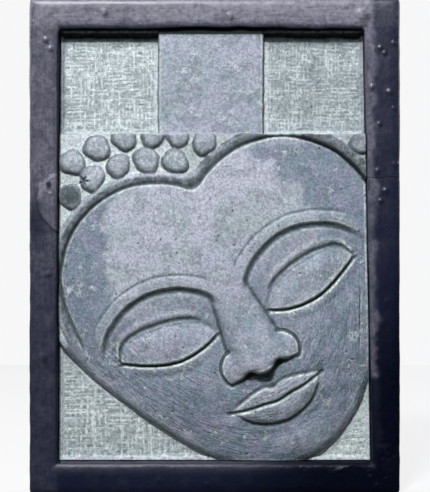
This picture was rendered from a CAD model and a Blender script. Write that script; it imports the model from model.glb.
from math import radians
from types import SimpleNamespace

import bpy
import numpy as np
from numpy import clip, cos, exp, hypot, maximum, minimum, pi, sin, sqrt, where
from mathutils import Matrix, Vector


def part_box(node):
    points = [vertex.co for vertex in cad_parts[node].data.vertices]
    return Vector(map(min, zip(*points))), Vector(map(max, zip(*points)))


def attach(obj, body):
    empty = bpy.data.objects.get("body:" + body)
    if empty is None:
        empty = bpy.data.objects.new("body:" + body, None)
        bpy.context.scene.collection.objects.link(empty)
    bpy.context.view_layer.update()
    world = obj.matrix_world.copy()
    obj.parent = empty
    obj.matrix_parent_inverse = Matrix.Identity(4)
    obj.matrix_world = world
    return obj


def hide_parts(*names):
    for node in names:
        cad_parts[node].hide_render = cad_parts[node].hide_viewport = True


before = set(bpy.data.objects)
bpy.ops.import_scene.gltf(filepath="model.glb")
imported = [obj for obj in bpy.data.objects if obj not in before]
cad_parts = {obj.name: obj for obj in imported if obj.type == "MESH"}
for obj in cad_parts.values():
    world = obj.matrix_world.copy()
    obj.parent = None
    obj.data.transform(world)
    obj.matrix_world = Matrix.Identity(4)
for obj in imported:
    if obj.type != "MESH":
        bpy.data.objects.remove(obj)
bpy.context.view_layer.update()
frameLow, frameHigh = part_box("frame")
print("frame loaded")

# Metres, z up, the carving faces -y and the wall is at y = 0. In masks and shares 0 is none and 1 is all.


# Small helpers

def deselectAll():
    if bpy.context.object and bpy.context.object.mode != "OBJECT":
        bpy.ops.object.mode_set(mode="OBJECT")
    bpy.ops.object.select_all(action="DESELECT")


def pickOnly(piece):
    deselectAll()
    piece.select_set(True)
    bpy.context.view_layer.objects.active = piece


def applyModifier(piece, kind, **settings):
    pickOnly(piece)
    modifier = piece.modifiers.new(kind.lower(), kind)
    for name, value in settings.items():
        setattr(modifier, name, value)
    bpy.ops.object.modifier_apply(modifier=modifier.name)


def readPoints(mesh):
    points = np.empty(len(mesh.vertices) * 3)
    mesh.vertices.foreach_get("co", points)
    return points.reshape(-1, 3)


def writePoints(mesh, points):
    mesh.vertices.foreach_set("co", points.astype(np.float32).ravel())
    mesh.update()


def writeMask(mesh, name, values):
    mask = mesh.attributes.new(name, "FLOAT", "POINT")
    mask.data.foreach_set("value", values.astype(np.float32))


def writeVectors(mesh, name, values):
    field = mesh.attributes.new(name, "FLOAT_VECTOR", "POINT")
    field.data.foreach_set("vector", values.astype(np.float32).ravel())


def smooth(t):
    t = clip(t, 0, 1)
    return t * t * (3 - 2 * t)


def softMin(a, b, width):
    share = clip(0.5 + 0.5 * (b - a) / width, 0, 1)
    return b + (a - b) * share - width * share * (1 - share)


def lineAt(distance, width):
    return exp(-(distance / width) ** 2)


def mound(a, v, centre, radii, power=2.0):
    return exp(-hypot((a - centre[0]) / radii[0], (v - centre[1]) / radii[1]) ** power)


def swell(a, v, centre, radii, power):
    reach = ((a - centre[0]) / radii[0]) ** 2 + ((v - centre[1]) / radii[1]) ** 2
    return clip(1 - reach, 0, 1) ** power


def mergeHeights(first, second):
    return (maximum(first, 0) ** 4 + maximum(second, 0) ** 4) ** 0.25


def distanceToSegment(x, z, start, end):
    run = np.subtract(end, start)
    t = clip(((x - start[0]) * run[0] + (z - start[1]) * run[1]) / (run @ run), 0, 1)
    return hypot(x - start[0] - run[0] * t, z - start[1] - run[1] * t), t


def cloud(axes, size, seed):
    # soft random lumps of that size, from -1 to 1
    cells = [axis / size for axis in axes]
    base = [np.floor(cell).astype(int) for cell in cells]
    part = [smooth(cell - low) for cell, low in zip(cells, base)]
    base = [low - low.min() for low in base]
    lattice = np.random.RandomState(seed).uniform(-1, 1, [low.max() + 2 for low in base])
    total = 0
    for corner in np.ndindex(*(2,) * len(axes)):
        weight = 1
        for step, share in zip(corner, part):
            weight = weight * (share if step else 1 - share)
        total = total + weight * lattice[tuple(low + step for low, step in zip(base, corner))]
    return total


def boxBlur(heights, cells):
    # mean over a square window, one axis at a time
    for axis in (0, 1):
        border = [(cells + 1, cells) if side == axis else (0, 0) for side in (0, 1)]
        total = np.cumsum(np.pad(heights, border, mode="edge"), axis=axis)
        window = 2 * cells + 1
        if axis == 0:
            heights = (total[window:] - total[:-window]) / window
        else:
            heights = (total[:, window:] - total[:, :-window]) / window
    return heights


# Opening in the surround, which both pieces share

opening = {
    "railTop": 0.0325,
    "railBottom": 0.0341,
    "stileLeftTop": 0.0320,
    "stileLeftBottom": 0.0301,
    "stileRightTop": 0.0381,
    "stileRightBottom": 0.0300,
    "slabThickness": 0.020,
    "lipLap": 0.006,
    "seatGap": 0.0003,
}
openingTop = frameHigh.z - opening["railTop"]
openingBottom = frameLow.z + opening["railBottom"]


def sideEdges(up, offset):
    # left and right edge of the opening grown by an offset, where up runs from 0 to 1
    left = frameLow.x + opening["stileLeftBottom"]
    left = left + (opening["stileLeftTop"] - opening["stileLeftBottom"]) * up - offset
    right = frameHigh.x - opening["stileRightBottom"]
    right = right + (opening["stileRightBottom"] - opening["stileRightTop"]) * up + offset
    return left, right


def placeInOpening(across, up, offset):
    z = openingBottom - offset + (openingTop - openingBottom + 2 * offset) * up
    left, right = sideEdges(up, offset)
    return left + (right - left) * across, z


def sharesInOpening(x, z, offset):
    up = clip((z - openingBottom + offset) / (openingTop - openingBottom + 2 * offset), 0, 1)
    left, right = sideEdges(up, offset)
    return clip((x - left) / (right - left), 0, 1), up


# Carved panel: levels and borders of the field in metres, and the head, whose lobes, roll and curls are in
# units of a twelfth of its height

panel = {
    "columns": 500,
    "rows": 700,
    "triangles": 176000,
    "fieldGap": 0.0012,
    "groundRise": 0.004,
    "rimRise": 0.003,
    "rimWidth": 0.003,
    "rimSlope": 0.0008,
    "bandHeight": 0.1138,
    "blockRise": 0.0078,
    "blockWidth": 0.1137,
    "blockAcross": -0.0041,
    "edgeWobble": 0.0005,
    "handWobble": 0.0004,
    "planing": 0.00022,
    "dressing": 0.00012,
    "grooveOff": 0.0008,
    "grooveWidth": 0.0007,
    "grooveDepth": 0.0005,
    "groundWaves": 0.0004,
    "groundGrain": 0.0003,
    "smoothAngle": radians(48),
}

head = {
    "unit": 0.330 / 12,
    "tilt": radians(25),
    "across": 0.0307,
    "down": 0.0819,
    "jawHalfWidth": 5.7,
    "widening": 1.25,
    "middleUp": 2.4,
    "reachUp": 8.6,
    "reachDown": 8.4,
    "step": 0.002,
    "rise": 0.018,
    "leftLobe": (-2.40, 2.99, 3.74, radians(6.6)),   # across, up, radius and the turn to its first curl
    "rightLobe": (2.90, 2.45, 3.84, radians(-16.2)),
    "lobeBlend": 0.55,
    "rollMiddle": 0.24,
    "rollHalfWidth": 0.21,
    "rollRise": 0.21,
    "curlOffset": 0.90,
    "curlPitch": 1.13,
    "curlRow": 0.96,
    "curlRadius": 0.52,
    "curlSizes": (0.92, 1.02),
    "curlRises": (0.30, 0.36),
    "curlRows": 5,
    "curlSeed": 11,
    "lobeMeeting": 0.60,
}

strokes = {
    "patchSpacing": 0.0150,
    "pitch": 0.0041,
    "width": 0.00080,
    "depth": 0.00050,
    "shortest": 0.010,
    "longest": 0.032,
    "perPatch": 5,
    "dashShare": 0.60,
    "dashWidth": 0.0009,
    "dashShortest": 0.005,
    "dashLongest": 0.012,
    "dashDepth": 0.8,
    "lowerScale": 1.9,
    "closeScale": 1.35,
    "closeShare": 0.6,
    "fromRim": 0.0012,
    "fromHead": 0.0025,
    "fromBlock": 0.0045,
    "sillReach": 0.0022,
    "seed": 7,
}

# knocked out of one knob, grime on another, and small knocks all over the face
chip = {"place": (-0.1408, 0.0700), "radius": 0.0042, "depth": 0.0026}
grimyKnob = {"place": (-0.1568, 0.0548), "second": (0.1520, 0.1160), "radius": 0.0118}
rimScratch = {"start": (0.1566, -0.0450), "end": (0.1560, -0.1085), "width": 0.0009, "depth": 0.0006}
knocks = {"count": 34, "smallest": 0.0006, "largest": 0.0016, "depth": 0.0009, "seed": 71}


def headUnits(x, z):
    across = x - head["across"]
    up = z + head["down"]
    u = (across * cos(head["tilt"]) + up * sin(head["tilt"])) / head["unit"]
    v = (up * cos(head["tilt"]) - across * sin(head["tilt"])) / head["unit"]
    return u, v


def headReach(u, v):
    # 1 on the head's outline, an egg with its broad end up
    halfWidth = head["jawHalfWidth"] + head["widening"] * smooth((v + 3.5) / 6.5)
    over = v - head["middleUp"]
    return hypot(u / halfWidth, over / where(over > 0, head["reachUp"], head["reachDown"]))


def dome(reach):
    return (1 - clip(reach, 0, 1) ** 2.05) ** 0.58


def hairlineDistance(u, v):
    left, right = [hypot(u - lobe[0], maximum(v - lobe[1], 0)) - lobe[2]
                   for lobe in (head["leftLobe"], head["rightLobe"])]
    return softMin(left, right, head["lobeBlend"])


# The face is a plain one of our own, in twelfths of the head's height: a is across from its middle, v is up.

# its broad forms: rise, middle, radii and the power that flattens the top
faceMounds = {
    "socket": (-0.24, (2.95, 0.75), (2.45, 1.5), 3.2),
    "cheek": (0.16, (3.3, -2.0), (2.2, 1.8), 2.0),
    "roundMouth": (0.15, (0, -3.2), (2.2, 1.5), 2.4),
    "chin": (0.21, (0, -5.15), (1.35, 0.9), 2.4),
    "hollowOverChin": (-0.12, (0, -4.5), (1.3, 0.3), 2.0),
}


def faceForms(a, v, reach):
    height = dome(reach)
    for rise, middle, radii, power in faceMounds.values():
        height += rise * mound(a, v, middle, radii, power)
    fold = a - 1.75 - 0.62 * smooth((-1.7 - v) / 1.7)
    height -= 0.05 * lineAt(fold, 0.20) * smooth((-1.5 - v) / 0.5) * smooth((v + 3.5) / 0.6)
    return height


def carveBrow(a, v):
    arc = hypot(a - 3.05, v + 0.55) - 3.2
    ends = smooth((a - 0.35) / 0.6) * smooth((6.0 - a) / 0.9) * smooth(v / 0.8)
    ridge = 0.13 * smooth((arc + 0.10) / 0.11) * exp(-maximum(arc - 0.16, 0) ** 2 / 0.16)
    return ends * (ridge - 0.12 * lineAt(arc + 0.20, 0.10) - 0.07 * lineAt(arc - 0.44, 0.055))


def carveEye(a, v):
    inner = 1.15
    outer = 5.0
    t = clip((a - inner) / (outer - inner), 0, 1)
    lash = 0.02 + 0.50 * t ** 1.5 - 0.50 * sin(pi * t ** 0.92)
    width = sin(pi * t ** 0.95) ** 0.55
    top = lash + 1.42 * width
    upLid = clip((v - lash) / maximum(top - lash, 0.001), 0, 1)
    lid = 0.30 * width ** 0.8 * (1 - (abs(upLid - 0.40) / 0.64) ** 2.2) ** 0.8
    lid = where((v > lash) & (v < top), lid + 0.05 * width * lineAt(v - lash - 0.09, 0.07), 0)
    below = (lash - v - 0.06) / 0.42
    lowerLid = where(v <= lash, 0.15 * width * smooth(below / 0.12 + 0.5) * (1 - clip(below, 0, 1) ** 2), 0)
    slitEnds = smooth((a - inner + 0.30) / 0.4) * smooth((outer + 0.40 - a) / 0.5)
    slit = 0.15 * lineAt(v - lash + 0.05, 0.060) * slitEnds
    foldLine = v - top - 0.12 - 0.10 * width
    foldEnds = smooth((a - inner - 0.1) / 0.5) * smooth((outer + 0.35 - a) / 0.5)
    fold = 0.10 * lineAt(foldLine, 0.065) * foldEnds
    crest = 0.08 * lineAt(foldLine - 0.22, 0.13) * foldEnds
    return lid + lowerLid + crest - slit - fold


def carveNose(a, v):
    down = clip((2.4 - v) / 4.1, 0, 1)
    halfWidth = 0.26 + 0.26 * down ** 1.5
    sideWidth = 0.42 + 0.30 * down
    side = 1 - clip((a - halfWidth) / sideWidth, 0, 1) ** 1.35
    bridge = (0.13 + 0.42 * down ** 1.3) * side * smooth((3.3 - v) / 1.5)
    tip = 0.20 * swell(a, v, (0, -1.42), (1.15, 1.30), 1.4)
    wing = 0.36 * swell(a, v, (0.86, -1.58), (0.74, 0.76), 0.62)
    base = -2.06 - 0.13 * lineAt(a, 0.42) + 0.13 * lineAt(a - 0.62, 0.20)
    body = mergeHeights(bridge + tip, wing) * where(v < -0.9, smooth((v - base) / 0.13), 1)
    wingEdge = hypot((a - 0.86) / 0.78, (v + 1.58) / 0.78) - 1
    wingGroove = 0.11 * lineAt(wingEdge, 0.08) * smooth((a - 0.85) / 0.3) * (v > -2.15)
    nostril = 0.30 * mound(a, v, (0.60, -1.96), (0.26, 0.12), 2.4)
    sideLine = 0.07 * lineAt(a - halfWidth - sideWidth, 0.10)
    sideLine = sideLine * smooth((v + 1.0) / 0.5) * smooth((1.7 - v) / 0.4)
    return body - wingGroove - nostril - sideLine


def carveMouth(a, v):
    half = 1.95
    s = clip(a / half, 0, 1)
    line = -3.28 + 0.24 * s ** 2.2 - 0.06 * lineAt(a, 0.36)
    top = line + 0.66 * (1 - s ** 1.9) * (1 - 0.17 * lineAt(a, 0.24))
    bottom = line - 0.86 * (1 - clip(a / (half * 0.92), 0, 1) ** 2.6) ** 0.75
    up = clip((v - line) / maximum(top - line, 0.001), 0, 1)
    low = clip((line - v) / maximum(line - bottom, 0.001), 0, 1)
    fullness = (1 - s ** 3.5) * (a < half)
    upper = where((v >= line) & (v <= top), 0.21 * fullness * (1 - up ** 4.0) ** 0.5, 0)
    lower = where((v < line) & (v >= bottom), 0.25 * fullness * sin(pi * low ** 0.75) ** 0.55, 0)
    parting = 0.17 * lineAt(v - line, 0.055) * smooth((half + 0.25 - a) / 0.35)
    border = 0.05 * lineAt(v - top - 0.07, 0.06) * smooth((half - a) / 0.25)
    under = 0.08 * lineAt(v - bottom + 0.07, 0.09) * smooth((half * 0.9 - a) / 0.3)
    corner = 0.10 * mound(a, v, (half + 0.05, -3.02), (0.24, 0.22))
    channel = 0.07 * lineAt(a, 0.14) * smooth((v + 2.85) / 0.2) * smooth((-2.12 - v) / 0.12)
    return upper + lower - parting - border - under - corner - channel


def curlCentres(lowestX, highestZ):
    # rows keep their distance from the hairline, each set half a pitch on from the last
    placed = []
    for side, lobe in ((-1, head["leftLobe"]), (1, head["rightLobe"])):
        for row in range(head["curlRows"]):
            reach = lobe[2] + head["curlOffset"] + head["curlRow"] * row
            turn = head["curlPitch"] / reach
            first = lobe[3] - 0.5 * turn * (row % 2)
            for step in range(-5, 9):
                angle = first + step * turn
                u = lobe[0] + reach * sin(angle)
                v = lobe[1] + reach * cos(angle)
                apart = min((hypot(u - pu, v - pv) for pu, pv in placed), default=head["curlPitch"])
                ownSide = (u - head["lobeMeeting"]) * side > -0.05
                x = head["across"] + head["unit"] * (u * cos(head["tilt"]) - v * sin(head["tilt"]))
                z = head["unit"] * (u * sin(head["tilt"]) + v * cos(head["tilt"])) - head["down"]
                shown = x > lowestX + 0.006 and z < highestZ
                if abs(angle) < radians(100) and ownSide and shown and apart > 0.9 * head["curlRow"]:
                    placed.append((u, v))
    return placed


def carveHair(u, v, edge, knobs):
    # also how far each point is from the nearest knob's middle, that knob's own tone and its lower side
    fromMiddle = (edge - head["rollMiddle"]) / head["rollHalfWidth"]
    rolled = head["rollRise"] * sqrt(clip(1 - fromMiddle ** 2, 0, 1))
    curls = np.zeros_like(u)
    nearest = np.full_like(u, 9.0)
    tone = np.zeros_like(u)
    lowSide = np.zeros_like(u)
    rng = np.random.RandomState(head["curlSeed"])
    for cu, cv in knobs:
        size = head["curlRadius"] * rng.uniform(*head["curlSizes"])
        rise = rng.uniform(*head["curlRises"])
        shade = rng.uniform(0, 1)
        swing = rng.uniform(0, 2 * pi, 3)
        leans = (np.arange(6) + rng.uniform(-0.3, 0.3, 6)) * pi / 3
        near = (abs(u - cu) < 0.75) & (abs(v - cv) < 0.75)
        turn = np.arctan2(v[near] - cv, u[near] - cu)
        outline = 1 + 0.05 * cos(2 * (turn - swing[0])) + 0.05 * cos(3 * (turn - swing[1]))
        outline += 0.03 * cos(5 * (turn - swing[2]))
        away = hypot(u[near] - cu, v[near] - cv) / (size * outline)
        body = (1 - clip(away, 0, 1) ** 2.6) ** 0.62
        for lean in leans:
            body = minimum(body, 1.04 - 0.46 * away * cos(turn - lean))   # flats left by the chisel
        curls[near] = maximum(curls[near], rise * maximum(body, 0) * (away < 1))
        closer = away < nearest[near]
        tone[near] = where(closer, shade, tone[near])
        lowSide[near] = where(closer, cos(turn + radians(150)), lowSide[near])
        nearest[near] = minimum(nearest[near], away)
    return rolled, curls * smooth((edge - 0.34) / 0.1), nearest, tone, lowSide


def carveHead(x, z, knobs):
    u, v = headUnits(x, z)
    a = hypot(u, 0.03)
    reach = headReach(u, v)
    edge = hairlineDistance(u, v)
    skin = faceForms(a, v, reach) + carveBrow(a, v) + carveEye(a, v) + carveNose(a, v) + carveMouth(a, v)
    skin -= 0.085 * lineAt(edge, 0.05) * smooth((v - 1.6) / 1.4)
    rolled, curls, nearest, tone, lowSide = carveHair(u, v, edge, knobs)
    crown = 0.86 * dome(reach / 1.3) - 0.06 + maximum(rolled, curls)
    temple = smooth((v - 1.2) / 1.4)
    isHair = (edge > 0.03) & (v > 1.2)
    rise = where(isHair, crown * temple + skin * (1 - temple), skin)
    inside = (isHair & (v > head["middleUp"])) | (reach < 1)
    height = where(inside, maximum(head["step"] + head["rise"] * rise, 0), 0)
    return {"height": height, "inside": inside, "reach": reach, "edge": edge, "u": u, "v": v,
            "isHair": isHair & (v > 2.0), "nearest": nearest, "tone": tone, "lowSide": lowSide}


def carveStroke(cut, x, z, centre, upright, length, tilt, depth, width):
    # one pass of the chisel, cut into the part of the field that it reaches
    rows, columns = x.shape
    column = int((centre[0] - x[rows // 2, 0]) / (x[rows // 2, -1] - x[rows // 2, 0]) * columns)
    row = int((centre[1] - z[0, 0]) / (z[-1, 0] - z[0, 0]) * rows)
    reach = int(length / 2 / (z[1, 0] - z[0, 0])) + 8
    side = 12   # grid cells on either side that a cut can touch
    high, wide = (reach, side) if upright else (side, reach)
    window = (slice(max(row - high, 0), max(row + high, 0)),
              slice(max(column - wide, 0), max(column + wide, 0)))
    dx = x[window] - centre[0]
    dz = z[window] - centre[1]
    along = (dz if upright else dx) + tilt * (dx if upright else dz)
    across = (dx if upright else dz) - tilt * (dz if upright else dx)
    ends = smooth((length / 2 - abs(along)) / 0.003)
    cut[window] = maximum(cut[window], depth * ends * lineAt(across, width))


def uprightShare(x):
    # the right ground was cut mostly upright in its left half and mostly level in the other
    return 0.45 + 0.37 * smooth((x - 0.02) / 0.03) * (1 - 1.6 * smooth((x - 0.100) / 0.02))


def chiselGround(x, z, tooled, scale):
    # patches of short parallel cuts, some upright and some level, lapping over each other
    rng = np.random.RandomState(strokes["seed"])
    pitch = strokes["pitch"] * scale
    width = strokes["width"] * scale
    cut = np.zeros_like(x)
    dash = np.zeros_like(x)
    rows, columns = x.shape
    spacing = strokes["patchSpacing"] * scale
    for patchX in np.arange(x.min(), x.max(), spacing):
        for patchZ in np.arange(z.min(), z.max(), spacing):
            middle = np.array([patchX, patchZ]) + rng.uniform(-0.4, 0.4, 2) * spacing
            upright = rng.rand() < uprightShare(patchX)
            tilt = rng.normal(0, 0.03)
            count = strokes["perPatch"] + rng.randint(-1, 2)
            column = int(clip((middle[0] - x.min()) / (x.max() - x.min()) * columns, 0, columns - 1))
            row = int(clip((middle[1] - z.min()) / (z.max() - z.min()) * rows, 0, rows - 1))
            near = tooled[max(row - 12, 0):row + 12, max(column - 12, 0):column + 12]
            if near.max() < 0.1:
                continue
            for index in range(count):
                aside = (index - count / 2) * pitch * rng.uniform(0.85, 1.15)
                slip = rng.normal(0, 0.003)
                length = rng.uniform(strokes["shortest"], strokes["longest"]) * scale
                step = np.array([aside, slip]) if upright else np.array([slip, aside])
                depth = rng.uniform(0.45, 1.0)
                lean = tilt + rng.normal(0, 0.02)
                carveStroke(cut, x, z, middle + step, upright, length, lean, depth, width)
                if rng.rand() < strokes["dashShare"]:
                    beside = aside + pitch / 2
                    slip = rng.uniform(-0.5, 0.5) * spacing
                    step = np.array([beside, slip]) if upright else np.array([slip, beside])
                    length = rng.uniform(strokes["dashShortest"], strokes["dashLongest"]) * scale
                    depth = rng.uniform(0.4, 1.0)
                    place = middle + step
                    carveStroke(dash, x, z, place, upright, length, tilt, depth, strokes["dashWidth"])
            crossing = rng.uniform(-0.5, 0.5, 2) * spacing
            length = rng.uniform(strokes["shortest"], strokes["longest"]) * scale
            depth = rng.uniform(0.6, 1.0)
            carveStroke(cut, x, z, middle + crossing, not upright, length, rng.normal(0, 0.03), depth, width)
    return cut * tooled, dash * tooled * (1 - clip(cut, 0, 1))


def knockFace(x, z, face):
    # small pocks, each a little out of round, at scattered places on the face
    rng = np.random.RandomState(knocks["seed"])
    pocked = np.zeros_like(x)
    for knock in range(knocks["count"]):
        place = (rng.uniform(x.min(), x.max()), rng.uniform(z.min(), z.max()))
        radius = knocks["smallest"] + (knocks["largest"] - knocks["smallest"]) * rng.rand() ** 2
        radii = (radius * rng.uniform(0.8, 1.5), radius)
        pocked = maximum(pocked, mound(x, z, place, radii, 3.0))
    return pocked * face


def layOutField():
    # the even grid, what lies where on it, and its main forms; f holds one array for each
    f = SimpleNamespace()
    columns = np.linspace(0, 1, panel["columns"] + 1)
    rows = np.linspace(0, 1, panel["rows"] + 1)
    f.across, f.up = np.meshgrid(columns, rows)
    f.x, f.z = placeInOpening(f.across, f.up, -panel["fieldGap"])
    f.axes = (f.x, f.z)
    f.fromLeft = f.across * (f.x[0, -1] - f.x[0, 0])
    f.fromRight = (1 - f.across) * (f.x[0, -1] - f.x[0, 0])
    f.overSill = f.z - f.z[0, 0]
    f.fromTop = f.z[-1, 0] - f.z
    f.toSide = minimum(f.fromLeft, f.fromRight)

    wobble = panel["handWobble"]
    wobbleX = cloud(f.axes, 0.013, 1) * wobble + cloud(f.axes, 0.005, 2) * wobble / 3
    wobbleZ = cloud(f.axes, 0.013, 3) * wobble + cloud(f.axes, 0.005, 4) * wobble / 3
    bandLow = openingTop - panel["bandHeight"]
    knobs = curlCentres(f.x[-1, 0], bandLow - 0.0005)
    carved = carveHead(f.x + wobbleX, f.z + wobbleZ, knobs)
    edgeX = cloud(f.axes, 0.006, 5) * panel["edgeWobble"]
    edgeZ = cloud(f.axes, 0.006, 6) * panel["edgeWobble"]
    f.overBand = f.z + edgeZ - bandLow
    f.inBand = f.overBand > 0
    f.fromBlock = abs(f.x + edgeX - panel["blockAcross"]) - panel["blockWidth"] / 2
    f.onBlock = f.inBand & (f.fromBlock < 0)
    f.onHead = carved["inside"] & ~f.inBand
    f.face = f.onHead & ~carved["isHair"]
    f.ground = ~f.onHead & ~f.onBlock
    for name in ("reach", "edge", "u", "v", "nearest", "tone", "lowSide"):
        setattr(f, name, carved[name])

    toEdge = minimum(f.toSide, minimum(f.overSill, f.fromTop))
    rim = panel["rimRise"] * smooth((panel["rimWidth"] - toEdge + edgeX) / panel["rimSlope"] + 0.5)
    f.height = where(f.inBand, where(f.onBlock, panel["blockRise"], 0), carved["height"])
    f.height = maximum(f.height, where(f.onHead, 0, rim))
    f.fromHead = where(f.inBand, f.z - bandLow, (f.reach - 1) * 6 * head["unit"])
    return f


def toolGround(f):
    # fine cuts in the band, and broad ones with closer ones between them below it
    toRim = minimum(f.toSide, minimum(f.overSill + strokes["sillReach"], f.fromTop)) - panel["rimWidth"]
    f.tooled = smooth((toRim - strokes["fromRim"]) / 0.0015)
    f.tooled = f.tooled * smooth((f.fromHead - strokes["fromHead"]) / 0.002)
    f.tooled = f.tooled * where(f.inBand, smooth((f.fromBlock - strokes["fromBlock"]) / 0.002), 1) * f.ground
    fineCut, fineDash = chiselGround(f.x, f.z, f.tooled * f.inBand, 1.0)
    broadCut, broadDash = chiselGround(f.x, f.z, f.tooled * ~f.inBand, strokes["lowerScale"])
    closeCut, closeDash = chiselGround(f.x, f.z, f.tooled * ~f.inBand, strokes["closeScale"])
    closeCut = strokes["closeShare"] * smooth((closeCut - 0.30) / 0.45)
    f.cut = fineCut + maximum(smooth((broadCut - 0.30) / 0.45), closeCut)
    lowerDash = maximum(smooth((broadDash - 0.15) / 0.45), smooth((closeDash - 0.15) / 0.45))
    f.dash = fineDash + lowerDash * (1 - clip(f.cut, 0, 1))


def finishByHand(f):
    # softened arrises, planing marks, a dressed block with its groove, the chisel cuts, a chip and knocks
    f.height = boxBlur(boxBlur(f.height, 1), 1)
    plane = cloud(f.axes, 0.021, 8) + 0.6 * cloud(f.axes, 0.008, 9) + 0.35 * cloud(f.axes, 0.0035, 10)
    f.height += plane * panel["planing"]
    f.height += f.onBlock * panel["dressing"] * cloud(f.axes, 0.0022, 12)
    groove = lineAt(f.fromBlock - panel["grooveOff"], panel["grooveWidth"]) * f.inBand * ~f.onBlock
    f.height -= panel["grooveDepth"] * groove
    uneven = panel["groundWaves"] * cloud(f.axes, 0.009, 13)
    uneven += panel["groundGrain"] * cloud(f.axes, 0.003, 14)
    f.height += f.tooled * uneven
    f.height -= strokes["depth"] * (f.cut + strokes["dashDepth"] * f.dash)

    chipX = (f.x - chip["place"][0]) / chip["radius"]
    chipZ = (f.z - chip["place"][1]) / chip["radius"]
    points = 1 + 0.45 * cos(5 * np.arctan2(chipZ, chipX) + 0.6)
    f.chipped = exp(-(hypot(chipX, chipZ) / points) ** 4)
    f.pocked = knockFace(f.x, f.z, f.face)
    f.height -= chip["depth"] * f.chipped + knocks["depth"] * f.pocked
    away = distanceToSegment(f.x, f.z, rimScratch["start"], rimScratch["end"])[0]
    f.scratched = lineAt(away, rimScratch["width"]) * smooth(1.2 - abs(cloud(f.axes, 0.009, 15)))
    f.height -= rimScratch["depth"] * f.scratched


# shares of dirt, pale rubbing and age; those under the rail are a reach and a fade in metres, and a share
dirt = {
    "jaw": 0.8,
    "sideReach": 0.0090,
    "sideSpread": 0.0025,
    "sideFade": 0.0085,
    "side": 0.55,
    "underRail": ((0.0125, 0.003, 1.0), (0.0205, 0.009, 0.62)),
    "underRailOnBlock": (0.0085, 0.005, 0.50),
    "knocks": 0.95,
    "grimyKnob": 0.97,
    "grimyTone": 2.3,
    "secondKnob": 0.7,
    "rimScratch": 0.9,
    "plainGroundPale": 0.55,
    "blockEdgePale": 0.5,
    "lowerRightPale": 0.60,
    "lowerRightFrom": (0.105, -0.150),
    "lowerRightFades": (0.03, 0.04),
    "paleLostAtSides": 0.8,
    "lowerFace": 0.85,
    "wornOff": 0.5,
    "sunken": 0.7,
    "sunkenBroad": 0.8,
    "block": 0.42,
    "blockRight": 0.6,
}


def dirtyField(f):
    # where dirt stays, where edges are rubbed pale, where the stone has aged and where the rasp shows
    blotch = cloud(f.axes, 0.010, 51) + 0.5 * cloud(f.axes, 0.004, 52)
    radius = grimyKnob["radius"]
    f.grimy = mound(f.x, f.z, grimyKnob["place"], (radius, radius), 7.0)
    second = mound(f.x, f.z, grimyKnob["second"], (radius, 0.6 * radius), 3.0)
    f.grimy = maximum(f.grimy, dirt["secondKnob"] * second)
    atSides = smooth((dirt["sideReach"] - f.toSide + dirt["sideSpread"] * blotch) / dirt["sideFade"])
    atSides = atSides * f.inBand * f.ground
    lower = boxBlur(boxBlur(f.height, 5), 5) - f.height
    f.stain = maximum.reduce([
        dirt["jaw"] * f.face * smooth((f.reach - 0.955) / 0.03),
        f.face * smooth((lower - 0.00015) / 0.0007),
        f.chipped,
        dirt["side"] * atSides,
        dirt["knocks"] * f.pocked,
        dirt["grimyKnob"] * f.grimy * f.onHead * smooth((blotch + 2.0) / 0.9),
        dirt["rimScratch"] * f.scratched,
    ])
    for reach, fade, share in dirt["underRail"]:
        f.stain = maximum(f.stain, share * smooth((reach - f.fromTop) / fade) * f.ground)
    reach, fade, share = dirt["underRailOnBlock"]
    f.stain = maximum(f.stain, share * smooth((reach - f.fromTop) / fade) * f.onBlock)

    arris = f.height - boxBlur(f.height, 2)
    fromX, fromZ = dirt["lowerRightFrom"]
    fadeX, fadeZ = dirt["lowerRightFades"]
    lowerRight = ~f.inBand * smooth((f.x - fromX) / fadeX) * smooth((fromZ - f.z) / fadeZ)
    f.pale = maximum.reduce([
        f.ground * (1 - f.tooled) * dirt["plainGroundPale"],
        f.face * smooth((arris - 0.00005) / 0.00016),
        f.onBlock * dirt["blockEdgePale"] * lineAt(f.fromBlock + 0.0018, 0.0016),
        dirt["lowerRightPale"] * f.ground * lowerRight,
    ])
    f.pale = f.pale * (1 - dirt["paleLostAtSides"] * atSides)

    relief = f.height - boxBlur(boxBlur(f.height, 13), 13)
    broad = f.height - boxBlur(boxBlur(f.height, 30), 30)
    worn = smooth((relief - 0.0001) / 0.0009)
    sunken = smooth((-0.0001 - relief - 0.0001 * blotch) / 0.0006) * smooth((0.97 - f.reach) / 0.03)
    sunkenBroad = smooth((-0.0004 - broad - 0.0003 * blotch) / 0.0012) * smooth((0.90 - f.reach) / 0.06)
    sunken = maximum(sunken, dirt["sunkenBroad"] * sunkenBroad)
    lowered = 1 - smooth((f.v + 1.5) / 6.0)
    turned = f.face * smooth((f.reach - 0.60 - 0.05 * blotch) / 0.045)
    aged = f.onHead * maximum(dirt["lowerFace"] * lowered, turned)
    aged = aged * (1 - dirt["wornOff"] * worn * f.face) + (1 - aged) * dirt["sunken"] * sunken * f.face
    onRight = smooth((f.fromBlock + 0.0075) / 0.003) * (f.x > panel["blockAcross"])
    f.patina = maximum.reduce([aged, dirt["block"] * f.onBlock, f.onBlock * dirt["blockRight"] * onRight])
    f.rasped = f.face * smooth((f.reach - 0.40) / 0.25) * smooth((2.4 - f.v) / 2.0)
    f.rasped = f.rasped * (0.6 + 0.4 * cloud(f.axes, 0.022, 53))


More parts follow.
